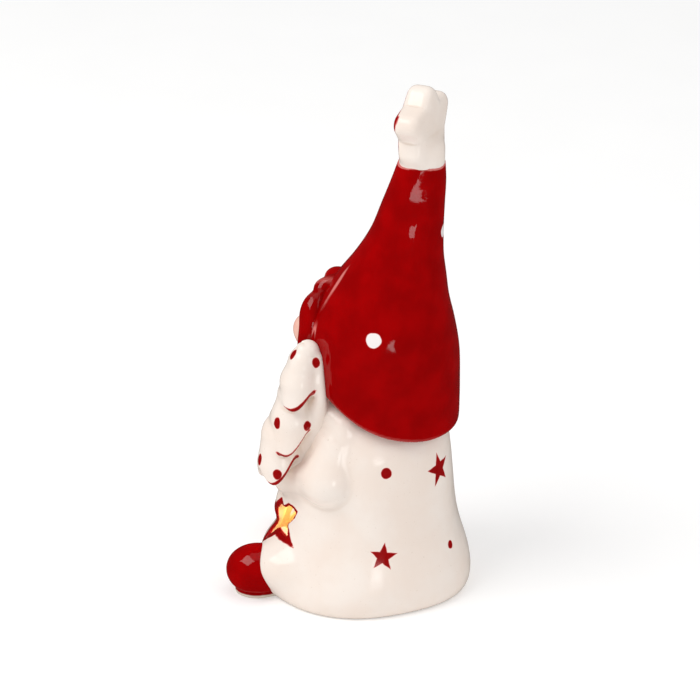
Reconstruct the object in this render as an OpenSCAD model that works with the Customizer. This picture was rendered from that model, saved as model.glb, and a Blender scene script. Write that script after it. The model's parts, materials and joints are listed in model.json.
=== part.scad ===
// Glazed ceramic tomte gnome with a fir tree, lit from inside through star windows.
// Millimetres. Z is up, the figure stands on z = 0 and looks towards -Y.

/* [Robe] */
// Radius of the robe at its widest, just above the hem
hem_r = 37.6; // [36.6:0.25:38.6]
// Radius of the robe at the shoulder line, before it rounds over
waist_r = 28.8; // [27.8:0.2:29.4]
// Height of the shoulder line
robe_h = 60; // [59:0.5:61]
// Thickness of the cast wall
wall = 3; // [2.6:0.1:3.4]
// Radius of the round hole in the base
base_hole_r = 18; // [17.9:0.05:18.1]

/* [Star windows] */
// How far each window is raised above where the cutter drew it
window_lift = 0; // [-1:0.25:1]
// Angle of each window from the front
window_angle = 41; // [36:1:46]

/* [Head and hat] */
// Radius of the head
head_r = 21.5; // [20.5:0.25:21.5]
// Height of the head's middle
head_z = 82; // [81:0.5:83]
// Height of the hat's tip, where the star stands
tip_z = 155; // [153:0.5:157]
// Radius of the rolled brim's section
brim_r = 4; // [3.5:0.1:4.2]
// Radius of the nose
nose_r = 5; // [4:0.2:5.5]
// Radius of the hat star's points
star_r = 14; // [13:0.2:15]
// Thickness of the hat star
star_t = 9.5; // [8:0.25:10]
// Turn of the hat star from the front
star_turn = -4; // [-20:1:0]

/* [Arms, tree and shoes] */
// Radius of a sleeve at the elbow
sleeve_r = 9.4; // [9:0.1:9.6]
// Radius of a hand
hand_r = 4.6; // [4:0.1:5]
// Radius of the tree's lowest tier
tier_r = 9; // [8.5:0.25:10]
// Height of one tier
tier_h = 20; // [19:0.5:21]
// Radius of a shoe's toe
toe_r = 8; // [7.5:0.1:8.2]

/* [Light unit] */
// Radius of the housing's barrel
barrel_r = 17.4; // [17.3:0.05:17.5]
// Radius of the housing's flange
flange_r = 21; // [20:0.25:23]
// Height of the barrel's top above the table
barrel_top = 17; // [16.5:0.25:18]
// Radius of the frosted diffuser
diffuser_r = 9; // [8:0.25:10]
// Radius of the coin cell
cell_r = 10; // [9.9:0.05:10.1]
// Thickness of the coin cell
cell_t = 3.2; // [3:0.1:3.2]
// Travel of the switch knob
knob_travel = 3; // [2.5:0.25:3]

/* [Hidden] */
$fn = 64;
hull_fn = 28;
eps = 0.01;

IVORY = "ivory";
RED = "firebrick";

// Robe
hem_z = 4;
flare_h = 17;
taper = 0.05;
round_z = 50;
round_k = 0.045;
flare = hem_r - waist_r - taper * (robe_h - hem_z);
foot_round = 1.7;
foot_in_r = 31.5;
recess = 2.6;
floor_z = recess + wall;
neck_r = 13;
neck_z = robe_h + 2.6;

// Face opening in the hat
face_rx = 11;
face_rz = 16.5;
face_z = 89.5;
head_y = 2.5;
nose_lift = 20;
brim_y = -14.8;
brim_lean = 0.3;
neck_bore = 12;
neck_out = 15.5;
hat_sides = 40;

// Tree: its foot, its tip and how far each tier reaches over the one below
tree_foot = [16.1, -24, 41];
tree_tip = [20.3, -12.8, 94.5];
tier_pitch = 16;

// Corners of a hand-cut star window: how far across from its middle line, and the height.
WINDOW = [
    [-3.4, 31], [-0.4, 30.6], [4.4, 33.9], [7.8, 33.8], [8.9, 32.2], [7, 28.4], [4.6, 25.8],
    [6.3, 21.2], [1, 24.4], [-2.6, 23.6], [-9, 16.4], [-6.4, 22.8], [-9.6, 26.6], [-6, 28.4]
];
window_from = -15;

// Light unit heights, from the table up
unit_z = 0.8;
deck_z = 9;
board_z = 12;
board_t = 1.2;
cover_t = 1.6;
pocket_top = 7.6;
plate_t = 1.3;
recess_d = 1.5;
cell_y = 3.2;
cell_z = 3.6;
door_screw_x = 14.2;
screw_r = 0.9;
screw_bore = 0.97;
switch_y = -12.8;
boss_x = 13.8;
boss_r = 2.2;
fit_gap = 0.3;

// Radius of the robe at a height: a gentle taper, a bell flare and rounded ends.
function robe_r(z) =
    waist_r + taper * (robe_h - z)
    + flare * exp(-pow((z - hem_z) / flare_h, 2))
    - (z < hem_z ? foot_round * pow(1 - z / hem_z, 2) : 0)
    - (z > round_z ? round_k * pow(z - round_z, 2) : 0);

// Ring of the hat at a height: [height, how far back its middle is, radius].
HAT = [
    [56, 6.2, 26.2], [64, 6.5, 26.4], [76, 6.5, 26.6], [89, 6.4, 26.5], [98, 6.3, 25.2],
    [106, 7.6, 22], [114, 9.6, 18.5], [121, 11.8, 15.3], [129, 14.7, 12.6],
    [140, 17.2, 10.5], [tip_z, 20.6, 7.8]
];

// Points of a star with its first point up.
function star_points(r, inner) = [
    for (i = [0:9]) let (a = 90 + 36 * i, q = i % 2 == 0 ? r : r * inner) [q * cos(a), q * sin(a)]
];

module ball(p, r) {
    translate(p) sphere(r = r, $fn = hull_fn);
}

module limb(a, ra, b, rb) {
    hull() {
        ball(a, ra);
        ball(b, rb);
    }
}

// Outer form of the robe, filled in.
module robe_form() {
    rotate_extrude()
        polygon(concat(
            [[0, 0]],
            [for (z = [0:4]) [robe_r(z), z]],
            [for (z = [8:4:robe_h - 4]) [robe_r(z), z]],
            [[robe_r(robe_h), robe_h], [neck_r + 6, neck_z], [0, neck_z]]
        ));
}

// Hollow of the robe, from the base to the neck.
module robe_hollow() {
    rotate_extrude()
        polygon(concat(
            [[0, floor_z]],
            [for (z = [floor_z, 8, 12, 16, 20, 24, 32, 40, 48, 54]) [robe_r(z) - wall, z]],
            [[robe_r(robe_h) - wall - 2, robe_h - wall + 1], [0, robe_h - wall + 1]]
        ));
}

module robe() {
    color(IVORY)
        difference() {
            robe_form();
            robe_hollow();
            translate([0, 0, -eps]) cylinder(r = base_hole_r, h = floor_z + 1);
            translate([0, 0, -eps]) cylinder(r = foot_in_r, h = recess + eps);
            translate([0, 0, robe_h - wall]) cylinder(r = neck_r, h = 2 * wall);
            for (side = [-1, 1])
                rotate([0, 0, side * window_angle])
                    translate([0, window_from, window_lift])
                        rotate([90, 0, 0])
                            linear_extrude(height = hem_r)
                                polygon([for (p = WINDOW) [side * p[0], p[1]]]);
        }
}

// One arm, for the side +1 (the figure's left) or -1, still running into the robe.
module sleeve_form(side) {
    shoulder = [side * 19.5, -4, 60];
    elbow = [side * 23.6, -5.8, 47.2];
    cuff = [side * 14.6, -20.6, 41.6];
    limb(shoulder, sleeve_r - 1.5, elbow, sleeve_r);
    limb(elbow, sleeve_r, cuff, sleeve_r - 1);
}

module sleeve(side) {
    color(IVORY)
        difference() {
            sleeve_form(side);
            robe_form();
            head_form();
            hat_form();
        }
}

module left_sleeve() sleeve(1);
module right_sleeve() sleeve(-1);

module hand_form(side) {
    limb([side * 10.5, -27, 43], hand_r, [side * 6.5, -28.5, 43], hand_r - 0.6);
}

module hand(side) {
    color("peachpuff")
        difference() {
            hand_form(side);
            robe_form();
            sleeve_form(side);
            if (side > 0) tree_form();
        }
}

module left_hand() hand(1);
module right_hand() hand(-1);

// The ball of the head on its neck ring, filled in.
module head_form() {
    translate([0, head_y, head_z]) sphere(r = head_r);
    translate([0, 0, neck_z]) cylinder(r = neck_out, h = 8);
}

module head() {
    color("peachpuff")
        difference() {
            head_form();
            translate([0, head_y, head_z]) sphere(r = head_r - wall);
            translate([0, 0, neck_z - wall]) cylinder(r = neck_bore, h = 18);
            translate([0, 0, neck_z - 20]) cylinder(r = head_r, h = 20);
        }
}

// The nose stands on the head's own radius, a little above its middle.
module nose_form() {
    translate([0, head_y, head_z])
        rotate([90 - nose_lift, 0, 0])
            difference() {
                translate([0, 0, head_r + 1]) sphere(r = nose_r);
                sphere(r = head_r);
            }
}

module nose() {
    color("pink") nose_form();
}

// The beard hangs from the face over the chest, narrowing to its end.
module beard() {
    color("whitesmoke")
        difference() {
            hull() {
                for (side = [-1, 1])
                    ball([side * 8, -17.5, 73], 5.5);
                ball([-3.5, -22.5, 52], 5.5);
            }
            robe_form();
            head_form();
            brim_form();
            tree_form();
            hat_form();
        }
}

// A stack of rings joined by flat facets, thinned by an inset: the outer or inner hat.
module hat_loft(inset) {
    last = len(HAT) - 1;
    rings = [
        for (i = [0:last])
            let (h = HAT[i], z = i == 0 ? h[0] - inset : h[0] - (i == last ? 2 * inset : 0))
            for (k = [0:hat_sides - 1])
                let (a = 360 * k / hat_sides, r = h[2] - inset)
                [r * cos(a), h[1] + r * sin(a), z]
    ];
    walls = [
        for (i = [0:last - 1])
            for (k = [0:hat_sides - 1])
                let (n = (k + 1) % hat_sides, a = i * hat_sides)
                [a + k, a + n, a + hat_sides + n, a + hat_sides + k]
    ];
    foot = [[for (k = [0:hat_sides - 1]) hat_sides - 1 - k]];
    top = [[for (k = [0:hat_sides - 1]) last * hat_sides + k]];
    polyhedron(points = rings, faces = [
        for (f = concat(walls, foot, top)) [for (i = [len(f) - 1:-1:0]) f[i]]
    ], convexity = 4);
}

// Everything under the hat's lower edge, which sweeps up from the back to the face.
module below_hat() {
    rotate([90, 0, 90])
        translate([0, 0, -50])
            linear_extrude(height = 100)
                polygon([
                    [40, 50], [40, 59.6], [28, 60.2], [20, 62.2], [14, 64.2], [7, 67.4],
                    [1, 71], [-5, 75.4], [-12, 79], [-30, 82], [-30, 50]
                ]);
}

module face_hole() {
    translate([0, -10, face_z])
        rotate([90, 0, 0])
            linear_extrude(height = 30)
                polygon([
                    for (a = [0:15:345]) [face_rx * cos(a), face_rz * sin(a)]
                ]);
}

module hat_form() {
    difference() {
        hat_loft(0);
        below_hat();
        face_hole();
    }
}

module hat() {
    color(RED)
        difference() {
            hat_loft(0);
            hat_loft(wall);
            below_hat();
            face_hole();
            robe_form();
            head_form();
        }
}

// A bead along the edge of the face opening, open under the chin.
module brim_form() {
    sides = 12;
    steps = 26;
    from = -28;
    to = 208;
    count = steps + 1;
    points = [
        for (i = [0:steps])
            let (
                t = from + (to - from) * i / steps,
                x = (face_rx + 2) * cos(t),
                z = face_z + (face_rz + 2) * sin(t),
                y = brim_y + brim_lean * max(0, z - face_z),
                r = brim_r
            )
            for (k = [0:sides - 1])
                let (a = 360 * k / sides)
                [x + r * cos(a) * cos(t), y + r * sin(a), z + r * cos(a) * sin(t)]
    ];
    walls = [
        for (i = [0:steps - 1])
            for (k = [0:sides - 1])
                let (n = (k + 1) % sides, a = i * sides)
                [a + k, a + sides + k, a + sides + n, a + n]
    ];
    first = [[for (k = [0:sides - 1]) k]];
    last = [[for (k = [0:sides - 1]) (count - 1) * sides + sides - 1 - k]];
    polyhedron(points = points, faces = [
        for (f = concat(walls, first, last)) [for (i = [len(f) - 1:-1:0]) f[i]]
    ], convexity = 6);
}

module hat_brim() {
    color(RED)
        difference() {
            brim_form();
            hat_form();
            head_form();
            tree_form();
        }
}

module hat_star() {
    middle = tip_z + 11.6;
    color(IVORY)
        translate([0, HAT[len(HAT) - 1][1], 0]) {
            translate([0, 0, tip_z]) cylinder(r = 7.4, h = 4);
            rotate([0, 0, star_turn])
                translate([0, star_t / 2, middle])
                    rotate([90, 0, 0])
                        linear_extrude(height = star_t)
                            polygon(star_points(star_r, 0.55));
        }
}

// Three cone tiers on a leaning axis, before the neighbours are cut away.
module tree_form() {
    lean = tree_tip - tree_foot;
    length = norm(lean);
    tilt = acos(lean[2] / length);
    turn = atan2(lean[1], lean[0]);
    translate(tree_foot)
        rotate([0, tilt, turn])
            for (i = [0:2])
                translate([0, 0, tier_pitch * i])
                    cylinder(
                        r1 = tier_r - 1.2 * i,
                        r2 = i == 2 ? 2.2 : 3,
                        h = i == 2 ? length - 2 * tier_pitch : tier_h
                    );
}

module tree() {
    color(IVORY)
        difference() {
            tree_form();
            robe_form();
            sleeve_form(1);
            hat_form();
        }
}

module shoe(side) {
    color(RED)
        difference() {
            limb([side * 25.8, -32.8, 7.4], toe_r, [side * 20, -22, 7], toe_r - 1);
            translate([-50, -50, -10]) cube([100, 100, 10]);
            robe_form();
        }
}

module left_shoe() shoe(1);
module right_shoe() shoe(-1);

// Outline of the battery door's seat: a disc with an ear for the screw.
module door_outline(grow) {
    translate([0, cell_y]) circle(r = cell_r + 2.3 + grow);
    translate([0, cell_y - 2.5 - grow]) square([door_screw_x, 2 * (2.5 + grow)]);
    translate([door_screw_x, cell_y]) circle(r = 2.5 + grow);
}

module lamp_housing() {
    color("white")
        difference() {
            union() {
                translate([0, 0, unit_z]) cylinder(r = flange_r, h = recess - unit_z - 0.1);
                translate([0, 0, unit_z]) cylinder(r = barrel_r, h = barrel_top - unit_z);
            }
            // groove of the grip ring
            translate([0, 0, 3.4])
                difference() {
                    cylinder(r = barrel_r + 1, h = 1.6);
                    translate([0, 0, -1]) cylinder(r = barrel_r - 0.6, h = 4);
                }
            // room for the board and the leads
            difference() {
                union() {
                    translate([0, 0, deck_z]) cylinder(r = barrel_r - 2.6, h = 20);
                    translate([0, 0, board_z]) cylinder(r = barrel_r - 1.6, h = 20);
                }
                for (side = [-1, 1])
                    translate([side * boss_x, 0, 0]) cylinder(r = boss_r, h = 30);
            }
            for (side = [-1, 1])
                translate([side * boss_x, 0, deck_z + 1]) cylinder(r = screw_bore, h = 20);
            // battery pocket, the door's seat and the door screw's hole
            translate([0, cell_y, 0]) cylinder(r = cell_r + 1.5, h = pocket_top);
            linear_extrude(height = unit_z + recess_d) door_outline(fit_gap);
            translate([door_screw_x, cell_y, 0]) cylinder(r = screw_bore, h = 7);
            // slots of the two contacts, up to the board's room
            translate([-2.5, cell_y - 1.2, pocket_top - 1]) cube([5, 2.4, 3]);
            translate([-2.5, cell_y + cell_r + 0.6, cell_z]) cube([5, 1.4, 8]);
            // seat, slot and chamber of the switch
            translate([-5.5, switch_y - 2.2, 0]) cube([11, 4.4, unit_z + 1.2]);
            translate([-3, switch_y - 1.3, 0]) cube([6, 2.6, 6]);
            translate([-4.5, switch_y - 2.1, 3.4]) cube([9, 4.2, 8]);
        }
}

module grip_ring() {
    color("dimgray")
        translate([0, 0, 3.5])
            difference() {
                cylinder(r = base_hole_r - 0.05, h = 1.4);
                translate([0, 0, -1]) cylinder(r = barrel_r - 0.6, h = 4);
            }
}

module lamp_cover() {
    color("white")
        difference() {
            translate([0, 0, barrel_top]) cylinder(r = barrel_r, h = cover_t);
            translate([0, 0, barrel_top - 1]) cylinder(r = 2.9, h = 5);
            for (side = [-1, 1])
                translate([side * boss_x, 0, barrel_top - 1]) cylinder(r = screw_bore, h = 5);
        }
}

module diffuser() {
    color("linen")
        translate([0, 0, barrel_top + cover_t])
            difference() {
                union() {
                    cylinder(r = diffuser_r, h = 3);
                    translate([0, 0, 3]) sphere(r = diffuser_r);
                }
                translate([0, 0, -1]) cylinder(r = diffuser_r - 1.2, h = 4);
                translate([0, 0, 3]) sphere(r = diffuser_r - 1.2);
                translate([0, 0, -20]) cylinder(r = 30, h = 20);
            }
}

module led() {
    color("gold")
        translate([0, 0, board_z + board_t]) {
            cylinder(r = 2.9, h = 1);
            cylinder(r = 2.5, h = 7);
            translate([0, 0, 7]) sphere(r = 2.5);
        }
}

module circuit_board() {
    color("darkgreen")
        difference() {
            translate([0, 0, board_z]) cylinder(r = barrel_r - 1.8, h = board_t);
            for (side = [-1, 1])
                translate([side * boss_x, 0, 0]) cylinder(r = boss_r + 0.4, h = 30);
        }
}

module switch_body() {
    color("dimgray")
        difference() {
            translate([-4.3, switch_y - 1.9, 3.4]) cube([8.6, 3.8, 3.6]);
            translate([-3, switch_y - 1.3, 3]) cube([6, 2.6, 1.4]);
        }
}

// The knob lies at its "on" end, half the travel to the figure's left.
module switch_knob() {
    color("black") {
        translate([knob_travel / 2 - 1, switch_y - 1, unit_z + 0.2]) cube([2, 2, 3.1]);
        for (i = [-1:1])
            translate([knob_travel / 2 + 0.7 * i - 0.15, switch_y - 1, unit_z + 0.05])
                cube([0.3, 2, 0.3]);
    }
}

module wire(p, z0) {
    translate([p[0], p[1], z0]) cylinder(r = 0.5, h = board_z - z0);
}

module lead_wires() {
    color("crimson") {
        wire([1.6, cell_y], deck_z + 0.4);
        wire([1.4, cell_y + cell_r + 0.45], deck_z + 0.8);
        wire([-2, switch_y], 7);
        wire([2, switch_y], 7);
    }
}

// A spring leaf in the pocket's roof, just above the cell.
module negative_contact() {
    color("gold") {
        translate([-2.3, cell_y - 1, pocket_top - 0.4]) cube([4.6, 2, 0.4]);
        translate([-2.3, cell_y - 1, pocket_top - 0.4]) cube([0.4, 2, 2.2]);
        translate([-2.3, cell_y - 1, deck_z]) cube([4.6, 2, 0.4]);
    }
}

// A blade beside the cell's rim, with a tail that lies on the deck.
module positive_contact() {
    color("gold") {
        translate([-2, cell_y + cell_r + 1, cell_z + 0.4]) cube([4, 0.4, 6.2]);
        translate([-2, cell_y + cell_r + 0.2, deck_z + 0.4]) cube([4, 1.2, 0.4]);
    }
}

module housing_screws() {
    color("silver")
        for (side = [-1, 1])
            translate([side * boss_x, 0, 0])
                difference() {
                    union() {
                        translate([0, 0, deck_z + 2]) cylinder(r = screw_r, h = 8);
                        translate([0, 0, barrel_top + cover_t]) cylinder(r = 1.8, h = 1.2);
                    }
                    for (turn = [0, 90])
                        translate([0, 0, barrel_top + cover_t + 1.3])
                            rotate([0, 0, turn]) cube([2.2, 0.4, 1.2], center = true);
                }
}

// The door carries the cell in a shallow tray and has a hole for its screw.
module battery_door() {
    color("white")
        difference() {
            union() {
                translate([0, 0, unit_z + 0.1]) linear_extrude(height = plate_t) door_outline(0);
                translate([0, cell_y, unit_z + plate_t]) cylinder(r = cell_r + 1.2, h = 3.6);
            }
            translate([0, cell_y, unit_z + plate_t + 0.4]) cylinder(r = cell_r + 0.2, h = 6);
            translate([-3, cell_y + cell_r - 1, cell_z - 0.4]) cube([6, 4, 4]);
            translate([door_screw_x, cell_y, 0]) cylinder(r = screw_bore, h = 10);
            translate([door_screw_x, cell_y, 0]) cylinder(r = 1.9, h = unit_z + 0.9);
        }
}

module coin_cell() {
    color("silver")
        translate([0, cell_y, unit_z + plate_t + 0.4]) {
            cylinder(r = cell_r, h = cell_t - 0.6);
            cylinder(r = cell_r - 1.5, h = cell_t);
        }
}

module door_screw() {
    color("silver")
        translate([door_screw_x, cell_y, 0])
            difference() {
                union() {
                    translate([0, 0, unit_z + 0.1]) cylinder(r = 1.6, h = 0.7);
                    translate([0, 0, unit_z + 0.1]) cylinder(r = screw_r, h = 5.5);
                }
                for (turn = [0, 90])
                    translate([0, 0, unit_z])
                        rotate([0, 0, turn]) cube([2, 0.4, 0.8], center = true);
            }
}

robe();
left_sleeve();
right_sleeve();
left_hand();
right_hand();
head();
nose();
beard();
hat();
hat_brim();
hat_star();
tree();
left_shoe();
right_shoe();
lamp_housing();
lamp_cover();
diffuser();
led();
circuit_board();
switch_body();
switch_knob();
lead_wires();
positive_contact();
negative_contact();
housing_screws();
grip_ring();
battery_door();
coin_cell();
door_screw();
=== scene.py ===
"""Looks of the glazed ceramic tomte gnome with its fir tree and the light in its base."""
import json
import math

import bpy
import numpy as np
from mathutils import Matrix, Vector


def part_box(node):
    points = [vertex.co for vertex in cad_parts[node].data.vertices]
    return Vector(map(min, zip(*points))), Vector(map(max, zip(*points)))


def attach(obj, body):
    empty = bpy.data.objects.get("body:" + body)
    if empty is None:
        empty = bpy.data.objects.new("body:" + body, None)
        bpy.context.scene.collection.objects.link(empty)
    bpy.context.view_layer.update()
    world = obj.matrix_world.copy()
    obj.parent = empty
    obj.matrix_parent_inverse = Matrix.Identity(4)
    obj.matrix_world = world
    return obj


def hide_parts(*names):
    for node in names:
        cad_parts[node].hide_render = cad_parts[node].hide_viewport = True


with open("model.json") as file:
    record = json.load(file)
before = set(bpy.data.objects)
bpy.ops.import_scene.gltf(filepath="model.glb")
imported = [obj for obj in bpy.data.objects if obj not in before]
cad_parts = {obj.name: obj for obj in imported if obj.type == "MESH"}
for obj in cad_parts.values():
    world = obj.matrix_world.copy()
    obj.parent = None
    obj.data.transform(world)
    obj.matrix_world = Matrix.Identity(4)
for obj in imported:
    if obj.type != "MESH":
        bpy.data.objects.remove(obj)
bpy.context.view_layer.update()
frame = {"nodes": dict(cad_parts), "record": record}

import openvdb
from mathutils import Matrix, Vector

MM = 1000.0  # millimetres in a metre: shapes below are worked out in millimetres


def corners(node):
    """The lowest and highest corner of a CAD node, in millimetres."""
    low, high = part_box(node)
    return np.array(low) * MM, np.array(high) * MM


def middle(node):
    low, high = corners(node)
    return (low + high) / 2


# ---------------------------------------------------------------- distance fields
# A field takes points (n, 3) in millimetres and gives the distance to its surface,
# below zero inside. Clay pieces are blends of simple fields.


def blend_min(a, b, k):
    """Joins two fields with a fillet about k wide."""
    h = np.clip(0.5 + 0.5 * (b - a) / k, 0, 1)
    return b + (a - b) * h - k * h * (1 - h)


def blend_max(a, b, k):
    """Keeps what is inside both fields, with a rounded edge."""
    return -blend_min(-a, -b, k)


def ball(p, centre, r):
    return np.linalg.norm(p - np.array(centre), axis=1) - r


def egg(p, centre, radii):
    """An ellipsoid."""
    q = (p - np.array(centre)) / np.array(radii)
    k0 = np.linalg.norm(q, axis=1)
    k1 = np.linalg.norm(q / np.array(radii), axis=1) + 1e-9
    return k0 * (k0 - 1) / k1


def limb(p, a, b, ra, rb):
    """A stick from a to b whose radius goes from ra to rb, with round ends."""
    a, b = np.array(a, float), np.array(b, float)
    axis = b - a
    h = np.clip((p - a) @ axis / (axis @ axis), 0, 1)
    return np.linalg.norm(p - a - h[:, None] * axis, axis=1) - (ra + h * (rb - ra))


def rope(p, path, radii):
    """A tube along a line of points, as thick as its radius at the nearest spot."""
    near, thick = np.full(len(p), 1e3), np.zeros(len(p))
    for a, b, ra, rb in zip(path[:-1], path[1:], radii[:-1], radii[1:], strict=True):
        axis = np.subtract(b, a)
        h = np.clip((p - a) @ axis / (axis @ axis), 0, 1)
        away = np.linalg.norm(p - a - h[:, None] * axis, axis=1)
        thick = np.where(away < near, ra + h * (rb - ra), thick)
        near = np.minimum(near, away)
    return near - thick


def curve(keys):
    """A smooth function through (x, value) keys, flat beyond its ends."""
    x, y = np.array(keys, float).T
    slope = np.gradient(y, x)

    def at(v):
        i = np.clip(np.searchsorted(x, v) - 1, 0, len(x) - 2)
        step = x[i + 1] - x[i]
        t = np.clip((v - x[i]) / step, 0, 1)
        rise = (3 * t**2 - 2 * t**3) * (y[i + 1] - y[i])
        bend = (t**3 - 2 * t**2 + t) * slope[i] + (t**3 - t**2) * slope[i + 1]
        return y[i] + rise + bend * step

    return at


def outline(x, y, points):
    """Distance to a closed outline in its own plane, below zero inside."""
    q = np.stack([x, y], 1)
    d = np.full(len(x), 1e9)
    inside = np.zeros(len(x), bool)
    ends = np.array(points, float)
    for a, b in zip(ends, np.roll(ends, -1, 0)):
        edge, rel = b - a, q - a
        t = np.clip(rel @ edge / (edge @ edge), 0, 1)
        d = np.minimum(d, np.linalg.norm(rel - t[:, None] * edge, axis=1))
        crosses = (a[1] > y) != (b[1] > y)
        if a[1] != b[1]:
            inside ^= crosses & (x < a[0] + (y - a[1]) * edge[0] / edge[1])
    return np.where(inside, -d, d)


def facing(theta):
    """Outward and sideways directions at an angle from the figure's front, in degrees."""
    a = math.radians(theta)
    out = np.array([math.sin(a), -math.cos(a), 0])
    side = np.array([math.cos(a), math.sin(a), 0])
    return out, side


# ---------------------------------------------------------------- robe
HEM_R = corners("robe")[1][0]
ROBE_TOP = corners("robe")[1][2]
HOLE_R = 18.0
FOOT_IN_R = 31.5
RECESS = 2.6
FLOOR_Z = 5.6
WALL = 3.0
NECK_HOLE_R = 12.5
WINDOW_ANGLE = 41.0
WINDOW_FROM = 16.0  # a window's cut starts this far out from the robe's middle line
# A window as it was cut by hand, and the star painted around it: (across, height) of the
# corners, for the one on the figure's left. The other is its mirror image.
WINDOW_CUT = [
    (-5.6, 28.9), (-3.4, 29.6), (-1.4, 29.4), (1.8, 31.6), (5.2, 31.9), (7.0, 31.3), (5.8, 28.8),
    (2.6, 25.6), (4.6, 23.4), (5.4, 22.2), (-3.4, 21.8), (-8.4, 17.0), (-13.0, 12.8),
    (-13.6, 15.4), (-11.4, 20.6), (-12.6, 23.8), (-10.6, 25.6), (-8.0, 26.4),
]
WINDOW_STAR = [
    (-5.0, 32.2), (-1.6, 30.6), (1.8, 32.9), (6.0, 33.4), (8.6, 32.6), (7.2, 29.2), (4.0, 25.8),
    (7.0, 23.4), (12.0, 20.3), (7.4, 20.8), (-0.2, 20.6), (-6.5, 14.5), (-16.0, 9.6),
    (-17.0, 14.5), (-14.2, 20.0), (-15.6, 24.4), (-10.6, 27.6),
]
robe_radius = curve([
    (0, HEM_R - 2.2), (2, HEM_R - 1.1), (5, HEM_R - 0.7), (9, HEM_R - 1.3), (13, HEM_R - 2.6),
    (18, HEM_R - 4.5), (24, HEM_R - 6.3), (30, HEM_R - 7.4), (40, HEM_R - 8.5),
    (50, HEM_R - 9.6), (56, HEM_R - 10.6), (60, HEM_R - 12.2), (64, HEM_R - 15.5),
])

# How far the robe's front stands out, or is drawn in, at a height.
front_fullness = curve([(12, 0), (15, -0.7), (17.5, -1.3), (19.5, -1.4), (21.5, -0.6),
                        (24, 0.35), (27.5, 1.0), (33, 0.2)])


def robe_middle(z):
    """How far back the robe's middle lies at a height: it leans back a little."""
    return 0.3 + 2.1 * (1 - np.exp(-np.clip(z, 0, None) / 24))


def sleeve_form(p, side):
    shoulder = (side * 20.2, -2.0, 58.0)
    elbow = (side * 23.4, -4.2, 45.8)
    cuff = (side * 13.4, -20.4, 40.6)
    upper = limb(p, shoulder, elbow, 7.8, 9.1)
    lower = limb(p, elbow, cuff, 9.0, 7.4)
    return blend_min(upper, lower, 3)


def bell_form(p):
    z = p[:, 2]
    x, y = p[:, 0], p[:, 1] - robe_middle(z)
    theta = np.arctan2(x, -y)
    low = np.exp(-((z / 11) ** 2))
    waves = 0.75 * np.cos(4 * (theta - 1.4)) + 0.2 * np.sin(5 * theta - 1.1)
    folds = 0.22 * np.sin(7 * theta + 0.4) * np.exp(-(((z - 24) / 22) ** 2))
    front = front_fullness(z) * np.exp(-((theta / 0.62) ** 4))
    d = (np.hypot(x, y) - robe_radius(z) - low * waves - folds - front) * 0.96
    for side in (-1, 1):
        d = blend_min(d, egg(p, (side * 21.6, -20.2, 11.4), (12.2, 11.8, 8.6)), 6)
    return d


def robe(p):
    z = p[:, 2]
    rho = np.hypot(p[:, 0], p[:, 1])
    d = blend_max(bell_form(p), z - ROBE_TOP, 3)
    d = blend_min(d, np.hypot(rho - 20, z - 61) - 5, 3)
    for side in (-1, 1):
        d = blend_min(d, limb(p, (side * 17.5, -8.5, 69), (side * 20.6, 0, 65), 4.4, 4.8), 3)
        d = blend_min(d, sleeve_form(p, side), 1.5)
    d = blend_max(d, -z, 1.2)
    inner = np.hypot(p[:, 0], p[:, 1] - robe_middle(z)) - robe_radius(z) + WALL + 0.6
    hollow = blend_max(blend_max(inner, FLOOR_Z - z, 3), z - (ROBE_TOP - WALL), 3)
    base_hole = np.maximum(rho - HOLE_R, z - FLOOR_Z - 4)
    recess = np.maximum(rho - FOOT_IN_R, z - RECESS)
    neck = np.maximum(rho - NECK_HOLE_R, ROBE_TOP - 8 - z)
    for cut in (hollow, base_hole, recess, neck):
        d = blend_max(d, -cut, 0.5)
    for side in (-1, 1):
        out, along = facing(side * WINDOW_ANGLE)
        star = outline(side * (p @ along), z, WINDOW_CUT) - 0.25
        d = blend_max(d, -np.maximum(star, WINDOW_FROM - p @ out), 0.7)
    return d


def window_paint(p):
    """Distance to the painted window stars, on the robe's outer skin only."""
    d = np.full(len(p), 9.0)
    skin = bell_form(p)
    for side in (-1, 1):
        out, along = facing(side * WINDOW_ANGLE)
        star = outline(side * (p @ along), p[:, 2], WINDOW_STAR)
        star = np.maximum(star, 10 - p @ out)
        d = np.minimum(d, np.maximum(star, -1.1 - skin))
    return d


# ---------------------------------------------------------------- hat
HAT_TOP = corners("hat")[1][2]
hat_middle = curve([
    (56, 6.3), (64, 6.6), (76, 6.6), (89, 6.5), (98, 6.6), (106, 8.0), (114, 10.4),
    (121, 12.6), (129, 15.0), (140, 17.4), (149, 19.3), (HAT_TOP, 20.2),
])
hat_radius = curve([
    (56, 25.6), (60, 26.3), (68, 26.6), (76, 26.7), (89, 26.4), (98, 24.9), (106, 21.6),
    (114, 18.0), (121, 14.9), (129, 12.4), (140, 10.4), (149, 8.9), (HAT_TOP, 7.7),
])
hat_edge = curve([
    (-30, 84), (-20, 82), (-12, 79), (-5, 75), (1, 71.0), (7, 67.4), (14, 64.2),
    (20, 62.2), (28, 60.2), (36, 59.4),
])
FACE_Z = 90.0
FACE_RX = 11.0
FACE_RZ = 16.8


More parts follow.
